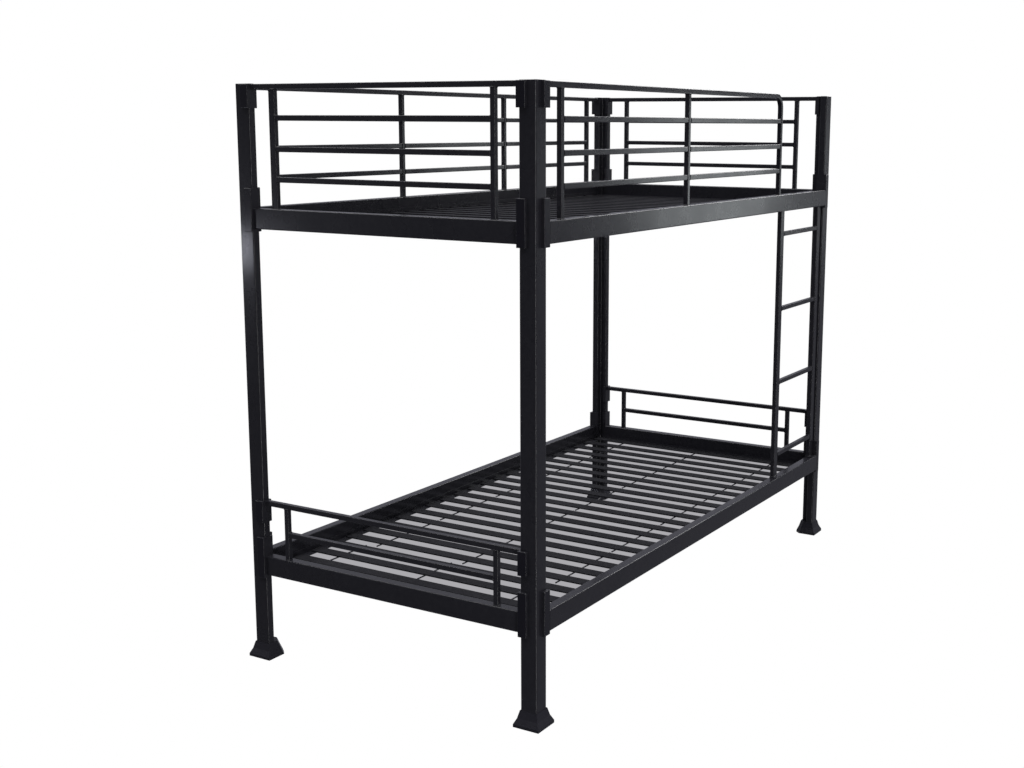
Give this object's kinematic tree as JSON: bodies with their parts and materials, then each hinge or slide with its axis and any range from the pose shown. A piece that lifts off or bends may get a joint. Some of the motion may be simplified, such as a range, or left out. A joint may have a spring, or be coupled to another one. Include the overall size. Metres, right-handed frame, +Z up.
{
  "type": "bunk bed",
  "caption": "Metal bunk bed with L-section posts, slatted decks, guard rails and a fixed ladder at the front.",
  "frame": {"origin": "on the floor under the middle of the bed", "axes": "+X along the bed towards the ladder end, +Y across the bed towards the back guard, +Z up"},
  "size_m": [2.0932, 1.0252, 1.685],
  "materials": {
    "black_steel": "black powder coat, semi-gloss",
    "wire_steel": "black powder coat on wire",
    "moulded_plastic": "black moulded plastic"
  },
  "bodies": {
    "root": {"back_guard_bars": "black_steel", "back_guard_brackets": "black_steel", "back_guard_top_tube": "black_steel", "back_guard_uprights": "black_steel", "foot_back_left": "moulded_plastic", "foot_back_right": "moulded_plastic", "foot_front_left": "moulded_plastic", "foot_front_right": "moulded_plastic", "front_guard_bars": "black_steel", "front_guard_bracket": "black_steel", "front_guard_top_tube": "black_steel", "front_guard_uprights": "black_steel", "ladder_foot_plates": "black_steel", "ladder_rungs": "black_steel", "ladder_stile_left": "black_steel", "ladder_stile_right": "black_steel", "left_guard_brackets": "black_steel", "low_end_guard_brackets": "black_steel", "low_guard_left_bar": "black_steel", "low_guard_left_top_tube": "black_steel", "low_guard_left_uprights": "black_steel", "low_guard_right_bar": "black_steel", "low_guard_right_top_tube": "black_steel", "low_guard_right_uprights": "black_steel", "lower_deck_slats": "black_steel", "lower_deck_wires": "wire_steel", "lower_end_rail_brackets": "black_steel", "lower_end_rail_left": "black_steel", "lower_end_rail_right": "black_steel", "lower_side_rail_back": "black_steel", "lower_side_rail_brackets": "black_steel", "lower_side_rail_front": "black_steel", "lower_slat_ledge_back": "black_steel", "lower_slat_ledge_front": "black_steel", "post_back_left": "black_steel", "post_back_right": "black_steel", "post_caps": "moulded_plastic", "post_front_left": "black_steel", "post_front_right": "black_steel", "right_guard_brackets": "black_steel", "upper_deck_slats": "black_steel", "upper_deck_wires": "wire_steel", "upper_end_rail_brackets": "black_steel", "upper_end_rail_left": "black_steel", "upper_end_rail_right": "black_steel", "upper_guard_left_bars": "black_steel", "upper_guard_left_top_tube": "black_steel", "upper_guard_left_uprights": "black_steel", "upper_guard_right_bars": "black_steel", "upper_guard_right_top_tube": "black_steel", "upper_guard_right_uprights": "black_steel", "upper_side_rail_back": "black_steel", "upper_side_rail_brackets": "black_steel", "upper_side_rail_front": "black_steel", "upper_slat_ledge_back": "black_steel", "upper_slat_ledge_front": "black_steel"}
  },
  "joints": []
}
